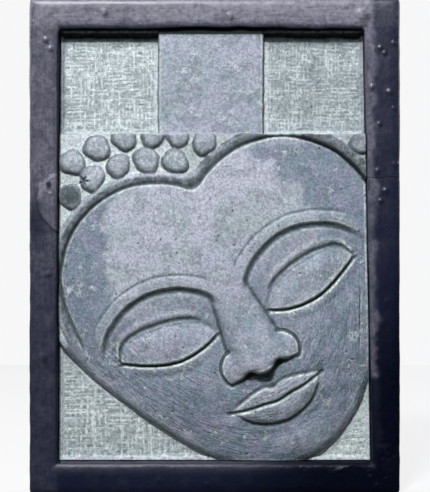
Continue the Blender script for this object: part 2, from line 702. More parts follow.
def carveField():
    # every map of the carved field on one even grid
    f = layOutField()
    toolGround(f)
    finishByHand(f)
    dirtyField(f)
    maps = {name: getattr(f, name) for name in ("cut", "dash", "tooled", "stain", "pale", "patina", "rasped",
                                                "edge", "lowSide", "reach", "u", "v")}
    maps["height"] = opening["slabThickness"] + panel["groundRise"] + f.height
    maps["knobTone"] = maximum(f.tone, dirt["grimyTone"] * f.grimy)
    maps["hairZone"] = f.onHead * smooth(f.v - 1.8)
    maps["nearest"] = minimum(f.nearest, 1.5)
    limits = {"fromBlock": (-9, 9), "overBand": (-99, 9), "overSill": (0, 9), "fromLeft": (0, 9),
              "fromRight": (0, 9), "fromTop": (0, 19)}
    for name, (low, high) in limits.items():
        maps[name] = clip(getattr(f, name) * 1000, low, high)   # in millimetres
    return maps, f.z[1, 0] - f.z[0, 0]


def sampleMap(grid, across, up):
    # bilinear reading of a map at shares across and up
    column = across * (grid.shape[1] - 1)
    row = up * (grid.shape[0] - 1)
    c = minimum(column.astype(int), grid.shape[1] - 2)
    r = minimum(row.astype(int), grid.shape[0] - 2)
    fc = column - c
    fr = row - r
    low = grid[r, c] * (1 - fc) + grid[r, c + 1] * fc
    high = grid[r + 1, c] * (1 - fc) + grid[r + 1, c + 1] * fc
    return low * (1 - fr) + high * fr


def extrudeRim(reshape):
    # the open border is drawn out once more and reshaped, as with E and a move
    bpy.ops.mesh.extrude_region_move()
    bpy.ops.object.mode_set(mode="OBJECT")
    mesh = bpy.context.object.data
    points = readPoints(mesh)
    picked = np.empty(len(mesh.vertices), dtype=bool)
    mesh.vertices.foreach_get("select", picked)
    points[picked] = reshape(points[picked])
    writePoints(mesh, points)
    bpy.ops.object.mode_set(mode="EDIT")


def toFlangeLevel(points):
    points[:, 1] = -opening["slabThickness"]
    return points


def toSlabOutline(points):
    across, up = sharesInOpening(points[:, 0], points[:, 2], -panel["fieldGap"])
    points[:, 0], points[:, 2] = placeInOpening(across, up, opening["lipLap"])
    return points


def toBackPlane(points):
    points[:, 1] = 0
    return points


def recalculateNormals():
    bpy.ops.mesh.select_all(action="SELECT")
    bpy.ops.mesh.normals_make_consistent(inside=False)


def buildPanel():
    maps, cell = carveField()
    deselectAll()
    bpy.ops.mesh.primitive_grid_add(x_subdivisions=panel["columns"], y_subdivisions=panel["rows"], size=1)
    piece = bpy.context.object
    piece.name = "carvedPanel"
    points = readPoints(piece.data)
    across = points[:, 0] + 0.5
    up = points[:, 1] + 0.5
    x, z = placeInOpening(across, up, -panel["fieldGap"])
    writePoints(piece.data, np.stack([x, -sampleMap(maps["height"], across, up), z], axis=1))
    print("field sculpted,", len(points), "points,", round(cell * 1000, 2), "mm apart")
    applyModifier(piece, "DECIMATE", ratio=panel["triangles"] / (2 * panel["columns"] * panel["rows"]))
    bpy.ops.object.mode_set(mode="EDIT")
    bpy.ops.mesh.select_mode(type="EDGE")
    bpy.ops.mesh.select_all(action="DESELECT")
    bpy.ops.mesh.select_non_manifold(
        use_wire=False, use_multi_face=False, use_non_contiguous=False, use_verts=False)
    extrudeRim(toFlangeLevel)
    extrudeRim(toSlabOutline)
    extrudeRim(toBackPlane)
    bpy.ops.mesh.edge_face_add()
    recalculateNormals()
    bpy.ops.object.mode_set(mode="OBJECT")
    bpy.ops.object.shade_smooth_by_angle(angle=panel["smoothAngle"])

    points = readPoints(piece.data)
    across, up = sharesInOpening(points[:, 0], points[:, 2], -panel["fieldGap"])
    front = smooth((-points[:, 1] - opening["slabThickness"] - 0.001) / 0.002)
    for name in ("cut", "dash", "tooled", "stain", "pale", "patina", "rasped", "knobTone", "hairZone"):
        writeMask(piece.data, name, sampleMap(maps[name], across, up) * front)
    writeMask(piece.data, "front", front)
    # distances, from which the material draws its thin lines
    unit = head["unit"]
    for title, names, scale in (("raspFlow", ("reach", "u", "v"), (6 * unit, unit, unit)),
                                ("hairLines", ("edge", "nearest", "lowSide"), (1, 1, 1)),
                                ("fieldLines", ("fromBlock", "overBand", "overSill"), (1, 1, 1)),
                                ("rimLines", ("fromLeft", "fromRight", "fromTop"), (1, 1, 1))):
        parts = [sampleMap(maps[name], across, up) for name in names]
        writeVectors(piece.data, title, np.stack(parts, axis=1) * scale)
    return piece


# Surround: one cast ring with a crowned face, blobs, blisters and a crack

surround = {
    "depth": 0.040,
    "crown": 0.0035,
    "outerCorner": 0.0045,
    "outerSegments": 6,
    "openingCorner": 0.0032,
    "openingSegments": 5,
    "cutThrough": 0.06,
    "voxel": 0.0013,
    "softening": 2,
    "triangles": 120000,
    "waves": 0.00035,
    "lumps": 0.00026,
    "pimples": 0.00009,
    "brushedUprightFrom": 0.158,
    "mitreFrom": 0.225,
    "mitreLean": 0.6,
    "mitreFade": 0.012,
    "smoothAngle": radians(60),
}

# blobs and blisters of the cast: across, up, radius and rise in millimetres
blisters = [
    (193.5, 218.9, 2.0, 1.2), (178.4, 213.5, 1.8, 1.1), (182.8, 208.1, 1.6, 0.9), (188.2, 166.0, 2.2, 1.3),
    (193.5, 148.8, 1.7, 1.0), (168.5, 171.4, 2.0, 1.2), (177.4, 131.5, 1.8, 1.0), (175.2, 80.9, 1.9, 1.0),
    (183.8, 59.3, 2.2, 1.2), (178.4, 48.5, 2.0, 1.1), (194.8, 88.4, 2.4, 1.1), (-182.8, 222.1, 2.2, 1.2),
    (-177.4, 212.4, 2.0, 1.0), (15.6, 248.0, 2.6, 0.9), (-9.2, -257.0, 2.4, 1.0), (167.7, -249.1, 2.0, 1.1),
    (175.2, -258.0, 2.2, 1.1), (184.9, -251.2, 1.8, 1.0), (158.5, 250.2, 4.5, 1.6),
    (-186.0, -120.0, 3.0, 0.7), (-180.0, -30.0, 2.2, 0.7), (-60.0, -252.0, 2.4, 0.7),
    (-120.0, 252.0, 3.0, 0.6), (186.0, -60.0, 2.6, 0.7),
]

casting = {
    "lumpSide": ((0.0130, -0.1640), (0.0160, -0.1735), (0.0270, -0.1840), (0.0350, -0.1895),
                 (0.0510, -0.1925), (0.0670, -0.1890), (0.0740, -0.1810), (0.0775, -0.1720)),
    "lumpRise": 0.0026,
    "lumpWander": 0.0008,
    "lumpSlope": 0.0032,
    "lumpLimit": -0.150,
    "blisterRise": 0.0010,
    "holePlace": (-0.1784, 0.0640),
    "holeRadii": (0.0022, 0.0036),
    "holeDepth": 0.0026,
    "holeLip": 0.0016,
    "crackHeight": 0.0744,
    "crackStart": 0.1640,
    "crackWander": 0.0012,
    "crackWidth": 0.0007,
    "crackDepth": 0.0002,
    "railBow": 0.0017,
    "railBowMiddle": 0.006,
    "railBowHalfWidth": 0.105,
    "ridgeFrom": (0.1677, -0.2275),
    "ridgeTo": (0.1235, -0.2458),
    "ridgeWidth": 0.0022,
    "ridgeRise": 0.0009,
    "crumbLow": (0.173, -0.234),
    "crumbTop": -0.210,
    "crumbRise": 0.0011,
}


def cutOut(ring, offset, depth, corner):
    # a slanted block the shape of the opening grown by an offset is taken out of the ring
    deselectAll()
    bpy.ops.mesh.primitive_cube_add(size=1)
    cutter = bpy.context.object
    points = readPoints(cutter.data) + 0.5
    x, z = placeInOpening(points[:, 0], points[:, 2], offset)
    behind = 0.02
    writePoints(cutter.data, np.stack([x, behind - (depth + behind) * points[:, 1], z], axis=1))
    bpy.ops.object.mode_set(mode="EDIT")
    recalculateNormals()
    bevelDepthEdges(cutter, depth, corner, surround["openingSegments"])
    applyModifier(ring, "BOOLEAN", operation="DIFFERENCE", object=cutter, solver="EXACT")
    bpy.data.objects.remove(cutter, do_unlink=True)


def bevelDepthEdges(piece, longerThan, width, segments):
    # rounds the edges that run from front to back
    bpy.ops.object.mode_set(mode="EDIT")
    bpy.ops.mesh.select_all(action="DESELECT")
    bpy.ops.object.mode_set(mode="OBJECT")
    for edge in piece.data.edges:
        ends = [piece.data.vertices[index].co for index in edge.vertices]
        edge.select = abs(ends[0].y - ends[1].y) > longerThan
    bpy.ops.object.mode_set(mode="EDIT")
    bpy.ops.mesh.select_mode(type="EDGE")
    bpy.ops.mesh.bevel(offset=width, segments=segments, affect="EDGES")
    bpy.ops.object.mode_set(mode="OBJECT")


def lumpOutline(x, z):
    # from 0 to 1 inside a rounded lump that lies along the opening
    heights, sides = np.array(casting["lumpSide"]).T
    side = np.interp(z, heights, sides) + casting["lumpWander"] * cloud((x, z), 0.005, 35)
    within = smooth((z - heights[0]) / 0.002) * smooth((heights[-1] + 0.001 - z) / 0.004)
    return smooth((x - side) / casting["lumpSlope"]) * within * (x < casting["lumpLimit"])


def crackDistance(x, z):
    return z - casting["crackHeight"] - casting["crackWander"] * cloud((x,), 0.006, 32)


def castMarks(x, z):
    # what stands up from the crowned face or is sunk in it, where it crumbles, and what lies in the dark
    rise = casting["lumpRise"] * lumpOutline(x, z)
    sunk = np.zeros_like(x)
    for across, up, radius, height in blisters:
        wide = 1.3 * radius
        body = mound(x * 1000, z * 1000, (across, up), (wide, wide), 2.6)
        foot = mound(x * 1000, z * 1000, (across + 0.9 * radius, up - 0.9 * radius), (wide, wide), 3.0)
        rise = rise + casting["blisterRise"] * height * body
        sunk = maximum(sunk, 0.9 * foot * (1 - 0.9 * body))
    holeX = (x - casting["holePlace"][0]) / casting["holeRadii"][0]
    holeZ = (z - casting["holePlace"][1]) / casting["holeRadii"][1]
    hole = hypot(holeX, holeZ) * (1 + 0.35 * cloud((x, z), 0.0016, 31))
    holed = exp(-hole ** 4)
    rise = rise - casting["holeDepth"] * holed + casting["holeLip"] * lineAt(hole - 1.7, 0.55)
    cracked = lineAt(crackDistance(x, z), casting["crackWidth"])
    rise = rise - casting["crackDepth"] * cracked * smooth((x - casting["crackStart"]) / 0.004)
    away, t = distanceToSegment(x, z, casting["ridgeFrom"], casting["ridgeTo"])
    ridge = lineAt(away, casting["ridgeWidth"]) * smooth(t / 0.1) * smooth((1 - t) / 0.3)
    rise = rise + casting["ridgeRise"] * ridge
    low = casting["crumbLow"]
    crumbly = smooth((x - low[0]) / 0.008) * smooth((z - low[1]) / 0.006)
    crumbly = crumbly * smooth((casting["crumbTop"] - z) / 0.006)
    crumbs = 0.6 * cloud((x, z), 0.0042, 33) + 0.6 * cloud((x, z), 0.0021, 34)
    return rise + casting["crumbRise"] * crumbly * crumbs, crumbly, maximum(holed, sunk)


def cutRing():
    depth = surround["depth"] - surround["crown"]
    deselectAll()
    middle = (0, -depth / 2, (frameHigh.z + frameLow.z) / 2)
    bpy.ops.mesh.primitive_cube_add(size=1, location=middle)
    ring = bpy.context.object
    ring.name = "castSurround"
    bpy.ops.transform.resize(value=(frameHigh.x - frameLow.x, depth, frameHigh.z - frameLow.z))
    bpy.ops.object.transform_apply(location=True, rotation=True, scale=True)
    bevelDepthEdges(ring, depth / 2, surround["outerCorner"], surround["outerSegments"])
    cutOut(ring, 0, surround["cutThrough"], surround["openingCorner"])
    lipBack = opening["slabThickness"] + opening["seatGap"]
    cutOut(ring, opening["lipLap"] + opening["seatGap"], lipBack, 2 * opening["seatGap"])
    print("ring cut")
    applyModifier(ring, "REMESH", mode="VOXEL", voxel_size=surround["voxel"], adaptivity=0.0)
    applyModifier(ring, "SMOOTH", factor=0.5, iterations=surround["softening"])
    bpy.ops.object.mode_set(mode="EDIT")
    recalculateNormals()
    bpy.ops.object.mode_set(mode="OBJECT")
    return ring


def measureRing(ring):
    # every point's place, which way it faces, and how far it is from the inner and outer edges
    s = SimpleNamespace()
    s.points = readPoints(ring.data)
    normals = np.empty(len(s.points) * 3)
    ring.data.vertices.foreach_get("normal", normals)
    s.normals = normals.reshape(-1, 3)
    s.x, s.y, s.z = s.points.T
    x, z = s.x, s.z
    s.left, s.right = sideEdges(clip((z - openingBottom) / (openingTop - openingBottom), 0, 1), 0)
    toOuter = minimum(minimum(x - frameLow.x, frameHigh.x - x), minimum(z - frameLow.z, frameHigh.z - z))
    s.toInner = maximum(maximum(s.left - x, x - s.right), maximum(openingBottom - z, z - openingTop))
    s.share = clip(toOuter / maximum(toOuter + s.toInner, 0.0001), 0, 1)
    s.facing = smooth((-s.normals[:, 1] - 0.2) / 0.6)
    s.marks, s.crumbly, s.shaded = castMarks(x, z)
    return s


def weatherRing(s):
    # the crowned face with its marks, an uneven skin, and a bow in the top rail's lower edge
    # x, y and z look into points, so they move with it
    crown = surround["crown"] * (1 - abs(2 * s.share - 1) ** 4.5)
    s.points[:, 1] -= s.facing * (crown + s.marks)
    place = (s.x, s.y, s.z)
    rough = surround["waves"] * cloud(place, 0.031, 21)
    rough += surround["lumps"] * cloud(place, 0.011, 22)
    rough += surround["pimples"] * cloud(place, 0.0045, 23)
    lipBack = opening["slabThickness"] + opening["seatGap"]
    inRebate = smooth((-s.y - lipBack - 0.001) / 0.004)
    freely = where(s.toInner < 0.010, inRebate, smooth(-s.y / 0.004))
    s.points += s.normals * (rough * freely)[:, None]
    s.points[:, 1] = minimum(s.points[:, 1], 0)
    aside = abs(s.x - casting["railBowMiddle"]) / casting["railBowHalfWidth"]
    bow = casting["railBow"] * smooth(1.6 - 1.6 * aside) + 0.0006 * cloud((s.x,), 0.014, 47)
    atRail = smooth((0.010 - abs(s.z - openingTop)) / 0.007)
    s.points[:, 2] += bow * atRail * (s.y < -lipBack) * (s.toInner < 0.010)


# greyish film that weather left on the paint, thick on the top rail and thin below: shares, places and radii
film = {
    "top": 0.80,
    "topGain": 0.24,
    "topLostAtRight": 0.80,
    "topLostAtLip": 0.46,
    "left": 0.47,
    "leftFoot": 0.25,
    "leftGain": 0.95,
    "aboveLump": 0.35,
    "aboveLumpPlace": (-0.183, 0.075),
    "aboveLumpRadii": (0.03, 0.045),
    "lostBesideLump": 0.75,
    "besideLumpPlace": (-0.191, 0.030),
    "besideLumpRadii": (0.012, 0.030),
    "lump": 0.84,
    "lumpGain": 0.66,
    "innerFoot": 0.06,
    "innerGain": 0.38,
    "innerTopGain": 0.10,
    "stepHeight": 0.230,
    "right": 0.08,
    "rightWall": 0.55,
    "dustOnWall": 0.25,
    "dustOnArris": 0.13,
    "dustLostAtRight": 0.80,
    "mottling": 0.55,
}

# gloss and colour lost towards the lower right: metres from the middle over which it builds, start and fade
soot = {"across": (0.002, 0.20), "down": (-0.02, 0.25), "start": 0.75, "fade": 0.80, "lostUnderFilm": 0.95}


def filmAndSoot(s):
    x, z = s.x, s.z
    up = (z - frameLow.z) / (frameHigh.z - frameLow.z)
    pastRight = smooth((x - s.right - 0.001 + 0.003 * cloud((x, z), 0.008, 44)) / 0.012)
    onTop = smooth((z - openingTop + 0.004) / 0.010) * (1 - film["topLostAtRight"] * pastRight)
    onTop = onTop * (film["top"] + film["topGain"] * smooth((x + 0.13) / 0.12))

    onLeft = film["leftFoot"] + film["leftGain"] * smooth(up / 1.15) ** 1.3
    onLeft = onLeft * smooth((s.left - x + 0.002) / 0.004)
    above = mound(x, z, film["aboveLumpPlace"], film["aboveLumpRadii"])
    onLeft = onLeft + film["aboveLump"] * above * (x < s.left)
    lump = lumpOutline(x, z)
    darker = mound(x, z, film["besideLumpPlace"], film["besideLumpRadii"], 3.0) * (1 - lump)
    onLeft = onLeft * (1 - film["lostBesideLump"] * darker)
    onLeft = onLeft * (1 - lump) + (film["lump"] + film["lumpGain"] * smooth((z - 0.040) / 0.025)) * lump

    wander = 0.0045 * cloud((x, z), 0.016, 45) + 0.002 * cloud((x, z), 0.005, 46)
    overStep = smooth((up - film["stepHeight"] + 0.006 * cloud((x, z), 0.006, 48)) / 0.012)
    inner = film["innerFoot"] + film["innerGain"] * overStep
    inner = inner + film["innerTopGain"] * smooth((up - 0.55) / 0.35)
    inner = inner * smooth((0.013 - s.toInner + wander) / 0.009)
    pastOpening = x > s.right - 0.002
    onRight = pastOpening * (film["right"] * smooth((up - 0.05) / 0.80) ** 1.5 + inner)

    covered = maximum(onTop * (1 - film["topLostAtLip"] * smooth((0.006 - s.toInner) / 0.006)),
                      maximum(film["left"] * onLeft, onRight))
    place = (s.x, s.y, s.z)
    blotch = 0.6 * cloud(place, 0.026, 41) + 0.55 * cloud(place, 0.011, 42) + 0.3 * cloud(place, 0.005, 43)
    covered = covered * clip(1 + film["mottling"] * blotch * (1 - 0.6 * onTop), 0.35, 1.6) * s.facing

    # the rail below keeps dust on its upper wall and inner arris, and the right wall has some film
    atArris = smooth((0.004 - s.toInner) / 0.003)
    onWall = film["dustOnWall"] * smooth((s.normals[:, 2] - 0.15) / 0.5) * atArris
    dusted = maximum(onWall, film["dustOnArris"] * s.facing * smooth((0.016 - s.toInner) / 0.012))
    dusted = dusted * (1 - film["dustLostAtRight"] * smooth((x - 0.03) / 0.06)) * (x < s.right - 0.004)
    below = (z < openingBottom + 0.001) & (s.toInner < 0.016)
    rightWall = smooth((-s.normals[:, 0] - 0.15) / 0.5) * atArris * (x > 0) * smooth((up - 0.1) / 0.7)
    covered = maximum.reduce([covered, below * dusted, film["rightWall"] * rightWall])

    acrossFrom, acrossSpan = soot["across"]
    downFrom, downSpan = soot["down"]
    lowerRight = (x - acrossFrom) / acrossSpan - (z - downFrom) / downSpan
    sooted = smooth((lowerRight - soot["start"]) / soot["fade"])
    sooted = sooted * (1 - clip(3.5 * inner * pastOpening, 0, soot["lostUnderFilm"]))
    return clip(covered, 0, 1), sooted


def surroundMasks(s):
    filmed, sooted = filmAndSoot(s)
    raised = cloud((s.x, s.y, s.z), 0.011, 22) * 0.5 + 0.25 * s.marks / 0.0012
    matt = 0.8 * (s.z < openingBottom + 0.001) * smooth((0.005 - s.toInner) / 0.003)
    leftEdge = smooth((0.0026 - s.toInner) / 0.0012) * smooth((openingTop - s.z) / 0.006)
    leftEdge = leftEdge * (s.x < s.left + 0.003) * (-s.y > opening["slabThickness"])
    mitre = surround["mitreLean"] * maximum(abs(s.z) - surround["mitreFrom"], 0)
    inMillimetres = clip(abs(crackDistance(s.x, s.z)) * 1000, 0, 9)
    return {
        "film": filmed,
        "sooted": sooted,
        "raised": clip(raised, 0, 1) * s.facing,
        "crumbly": s.crumbly * s.facing,
        "upright": smooth((abs(s.x) - surround["brushedUprightFrom"] - mitre) / surround["mitreFade"]),
        "recess": maximum(smooth((0.0015 - s.toInner) / 0.002) * (1 - s.facing), matt),
        "leftEdge": maximum(leftEdge, s.shaded * s.facing),
        "fromCrack": inMillimetres + 9 * (s.x < casting["crackStart"]),
    }


def buildSurround():
    ring = cutRing()
    s = measureRing(ring)
    weatherRing(s)
    writePoints(ring.data, s.points)
    for name, values in surroundMasks(s).items():
        writeMask(ring.data, name, values)
    applyModifier(ring, "DECIMATE", ratio=surround["triangles"] / (2 * len(ring.data.polygons)))
    bpy.ops.object.shade_smooth_by_angle(angle=surround["smoothAngle"])
    print("surround sculpted,", len(ring.data.polygons), "faces")
    return ring


# Material helpers: they add to the tree on the bench

bench = {}


def feed(socket, value):
    if isinstance(value, bpy.types.NodeSocket):
        bench["tree"].links.new(value, socket)
    else:
        socket.default_value = value


def addNode(kind, inputs=None, **settings):
    made = bench["tree"].nodes.new(kind)
    for name, value in settings.items():
        setattr(made, name, value)
    for name, value in (inputs or {}).items():
        feed(made.inputs[name], value)
    return made


def reckon(operation, *values):
    return addNode("ShaderNodeMath", dict(enumerate(values)), operation=operation).outputs[0]


def times(*factors):
    product = factors[0]
    for factor in factors[1:]:
        product = reckon("MULTIPLY", product, factor)
    return product


def most(*values):
    largest = values[0]
    for value in values[1:]:
        largest = reckon("MAXIMUM", largest, value)
    return largest


def plus(first, second):
    return reckon("ADD", first, second)


def minus(first, second):
    return reckon("SUBTRACT", first, second)


def scaledPlus(value, scale, added):
    return reckon("MULTIPLY_ADD", value, scale, added)


def ranged(value, low, high):
    return addNode("ShaderNodeMapRange", {"Value": value, "To Min": low, "To Max": high}).outputs[0]


def rises(value, start, end):
    # from 0 at start to 1 at end, with eased ends
    inputs = {"Value": value, "From Min": start, "From Max": end}
    return addNode("ShaderNodeMapRange", inputs, interpolation_type="SMOOTHSTEP").outputs[0]


def nearTo(value, centre, width):
    return rises(reckon("ABSOLUTE", minus(value, centre)), width, 0.0)


def mixColours(factor, first, second):
    inputs = {0: factor, 6: first, 7: second}
    return addNode("ShaderNodeMix", inputs, data_type="RGBA", clamp_factor=True).outputs[2]


def partsOf(vector):
    return addNode("ShaderNodeSeparateXYZ", {"Vector": vector}).outputs


def readMask(name, output="Fac"):
    return addNode("ShaderNodeAttribute", attribute_name=name).outputs[output]


def arrangeNodes():
    # each node stands one column to the left of what it feeds
    tree = bench["tree"]
    column = {node.name: 0 for node in tree.nodes}
    ends = [(link.from_node.name, link.to_node.name) for link in tree.links]
    moved = True
    while moved:
        moved = False
        for source, target in ends:
            if column[source] <= column[target]:
                column[source] = column[target] + 1
                moved = True
    filled = {}
    for node in tree.nodes:
        place = column[node.name]
        filled[place] = filled.get(place, 0) + 1
        node.location = (-200 * place, -170 * filled[place])


# Groups that both finishes use

def newGroup(name, inputs):
    group = bpy.data.node_groups.new(name, "ShaderNodeTree")
    for label, value in inputs.items():
        kind = "NodeSocketFloat" if isinstance(value, float) else "NodeSocketVector"
        group.interface.new_socket(name=label, in_out="INPUT", socket_type=kind).default_value = value
    group.interface.new_socket(name="Mask", in_out="OUTPUT", socket_type="NodeSocketFloat")
    bench["tree"] = group
    return group, addNode("NodeGroupInput").outputs


def closeGroup(mask):
    addNode("NodeGroupOutput", {"Mask": mask})
    arrangeNodes()


def patchesGroup():
    # cloudy patches whose lumps are Size metres wide
    group, given = newGroup("cloudyPatches", {
        "Vector": (0, 0, 0), "Size": 0.02, "Detail": 3.0, "Low": 0.4, "High": 0.6})
    noise = addNode("ShaderNodeTexNoise", {
        "Vector": given["Vector"], "Scale": reckon("DIVIDE", 1.0, given["Size"]), "Detail": given["Detail"],
        "Roughness": 0.6})
    closeGroup(rises(noise.outputs["Fac"], given["Low"], given["High"]))
    return group


def pitsGroup():
    # scattered pits or blisters, one in each cell that the share lets through
    group, given = newGroup("scatteredPits", {
        "Vector": (0, 0, 0), "Spacing": 0.004, "Radius": 0.25, "Share": 0.3})
    cells = addNode("ShaderNodeTexVoronoi", {
        "Vector": given["Vector"], "Scale": reckon("DIVIDE", 1.0, given["Spacing"])})
    pick = addNode("ShaderNodeSeparateColor", {"Color": cells.outputs["Color"]}).outputs
    chosen = reckon("LESS_THAN", pick[0], given["Share"])
    size = times(given["Radius"], pick[1])
    closeGroup(times(rises(cells.outputs["Distance"], size, 0.0), chosen))
    return group


def streaksGroup():
    # fine marks drawn out along the surface: the vector is stretched before it meets the noise
    group, given = newGroup("drawnStreaks", {
        "Vector": (0, 0, 0), "Stretch": (500, 30, 30), "Low": 0.35, "High": 0.65})
    vectors = {0: given["Vector"], 1: given["Stretch"]}
    stretched = addNode("ShaderNodeVectorMath", vectors, operation="MULTIPLY")
    noise = addNode("ShaderNodeTexNoise", {
        "Vector": stretched.outputs[0], "Scale": 1.0, "Detail": 2.5, "Roughness": 0.55})
    closeGroup(rises(noise.outputs["Fac"], given["Low"], given["High"]))
    return group


def placeGroup(group, inputs):
    return addNode("ShaderNodeGroup", inputs, node_tree=group).outputs[0]


def patch(values):
    size, low, high, detail = values
    inputs = {"Vector": bench["place"], "Size": size, "Detail": detail, "Low": low, "High": high}
    return placeGroup(groups["patches"], inputs)


def pitted(values):
    spacing, radius, share = values
    inputs = {"Vector": bench["place"], "Spacing": spacing, "Radius": radius, "Share": share}
    return placeGroup(groups["pits"], inputs)


def drawnOut(vector, stretch):
    return placeGroup(groups["streaks"], {"Vector": vector, "Stretch": stretch})


# Finishes

def newMaterial(name):
    material = bpy.data.materials.new(name)
    material.use_nodes = True
    bench["tree"] = material.node_tree
    return material, material.node_tree.nodes["Principled BSDF"].inputs


def startFinish(name, maskNames, patchValues):
    # a material with its piece's masks and its own patches laid out ready
    material, shader = newMaterial(name)
    bench["place"] = addNode("ShaderNodeTexCoord").outputs["Object"]
    masks = {mask: readMask(mask) for mask in maskNames}
    spots = {spot: patch(values) for spot, values in patchValues.items()}
    return material, shader, masks, spots


def raiseSurface(shader, height, look):
    bump = addNode("ShaderNodeBump", {
        "Strength": look["bumpStrength"], "Distance": look["bumpDistance"], "Height": height})
    feed(shader["Normal"], bump.outputs[0])


def dress(piece, material):
    arrangeNodes()
    piece.data.materials.clear()
    piece.data.materials.append(material)


stoneFinish = {
    "coolGrey": (0.385, 0.405, 0.490, 1),
    "mauve": (0.425, 0.425, 0.505, 1),
    "greenGrey": (0.290, 0.360, 0.385, 1),
    "patina": (0.150, 0.200, 0.255, 1),
    "violet": (0.205, 0.215, 0.300, 1),
    "darkGrey": (0.10, 0.125, 0.15, 1),
    "field": (0.292, 0.345, 0.362, 1),
    "gap": (0.085, 0.11, 0.11, 1),
    "stroke": (0.62, 0.68, 0.71, 1),
    "pale": (0.56, 0.64, 0.63, 1),
    "stain": (0.040, 0.060, 0.066, 1),
    "pit": (0.02, 0.03, 0.035, 1),
    "soot": (0.010, 0.015, 0.016, 1),
    "rust": (0.26, 0.18, 0.15, 1),
    "knobRingDark": 0.86,
    "ringLean": 0.15,
    "rollMottle": 0.30,
    "rollShade": 0.30,
    "hollowsDark": 0.5,
    "blockLineDark": 0.9,
    "ledgeLineDark": 0.6,
    "rightSideDark": 0.8,
    "netPale": 0.62,
    "hairlinePale": 0.8,
    "knobPale": 0.55,
    "sillPale": 0.32,
    "leftRimPale": 0.5,
    "greenShare": 0.62,
    "violetShare": 0.85,
    "dullShare": 0.34,
    "knobShade": 0.38,
    "dingyShare": 0.55,
    "bloomShare": 0.60,
    "scratchShare": 0.65,
    "dirtShare": 0.95,
    "pitShare": 0.9,
    "finePitShare": 0.55,
    "rustShare": 0.55,
    "lowerGaps": 0.78,
    "lowerStrokes": 0.80,
    "shade": 0.74,
    "grainShade": 0.52,
    "sugarShade": 0.42,
    "raspShade": 0.60,
    "raspHeight": 0.60,
    "grainHeight": 0.36,
    "pitDepth": 0.9,
    "roughness": (0.62, 0.82),
    "raspStretch": (560, 62, 62),
    "specular": 0.30,
    "bumpStrength": 0.75,
    "bumpDistance": 0.0009,
}

# size in metres, the noise levels where a patch starts and is full, and detail
stonePatches = {
    "uneven": (0.0055, 0.25, 0.75, 3.0),
    "broken": (0.011, 0.40, 0.62, 4.0),
    "streaked": (0.0065, 0.40, 0.60, 5.0),
    "knobBloom": (0.0042, 0.50, 0.66, 3.0),
    "warm": (0.034, 0.47, 0.58, 5.0),
    "green": (0.050, 0.44, 0.58, 4.0),
    "aged": (0.016, 0.35, 0.65, 4.0),
    "violet": (0.017, 0.47, 0.58, 5.0),
    "dull": (0.019, 0.50, 0.60, 6.0),
    "dingy": (0.020, 0.42, 0.60, 4.0),
    "gaps": (0.040, 0.42, 0.58, 3.0),
    "struck": (0.005, 0.32, 0.60, 3.0),
    "rubbed": (0.005, 0.34, 0.62, 3.0),
    "bloom": (0.010, 0.62, 0.72, 7.0),
    "thread": (0.016, 0.0, 1.0, 6.0),
    "scratched": (0.020, 0.55, 0.68, 2.0),
    "dirty": (0.005, 0.36, 0.60, 3.0),
    "grain": (0.0011, 0.28, 0.72, 2.0),
    "sugar": (0.0028, 0.34, 0.66, 2.0),
}

# spacing in metres, radius in spacings and the share of cells that have one
stonePits = {
    "coarse": (0.0085, 0.26, 0.50),
    "fine": (0.0026, 0.42, 0.22),
    "rust": (0.024, 0.11, 0.30),
}

# where each line starts and is full, or its middle and half width: over the hair in head units, from a
# knob's middle in its radii, rightLobe in metres, hollows in noise, and the others in millimetres
stoneSpans = {
    "intoHair": (0.0, 0.03),
    "knobOutline": (1.05, 0.99),
    "knobOffRoll": (0.34, 0.42),
    "roll": (0.50, 0.45),
    "net": (0.45, 0.50),
    "hairline": (0.02, 0.10),
    "rightLobe": (0.010, 0.030),
    "rollFoot": (0.36, 0.22),
    "hollows": (0.75, 1.0),
    "blockLine": (0.4, 1.1),
    "ledgeLine": (0.0, 0.9),
    "leftSide": (1.7, 0.9),
    "rightSide": (0.9, 0.3),
    "top": (4.1, 3.1),
    "besideKnob": (1.11, 0.10),
    "besideRoll": (0.52, 0.07),
    "besideFace": (-0.075, 0.075),
    "sill": (1.0, 1.8),
    "underLedge": (-1.0, -3.0),
    "rightRim": (1.7, 1.7),
    "leftRim": (2.4, 1.0),
    "rimsBelow": (-40.0, -60.0),
    "soot": (7.0, 4.6),
    "sootBelow": (13.0, 11.5),
    "sootOnBlock": (5.5, 3.8),
    "litRim": (2.9, 1.6),
    "knobRing": (0.56, 0.98),
}


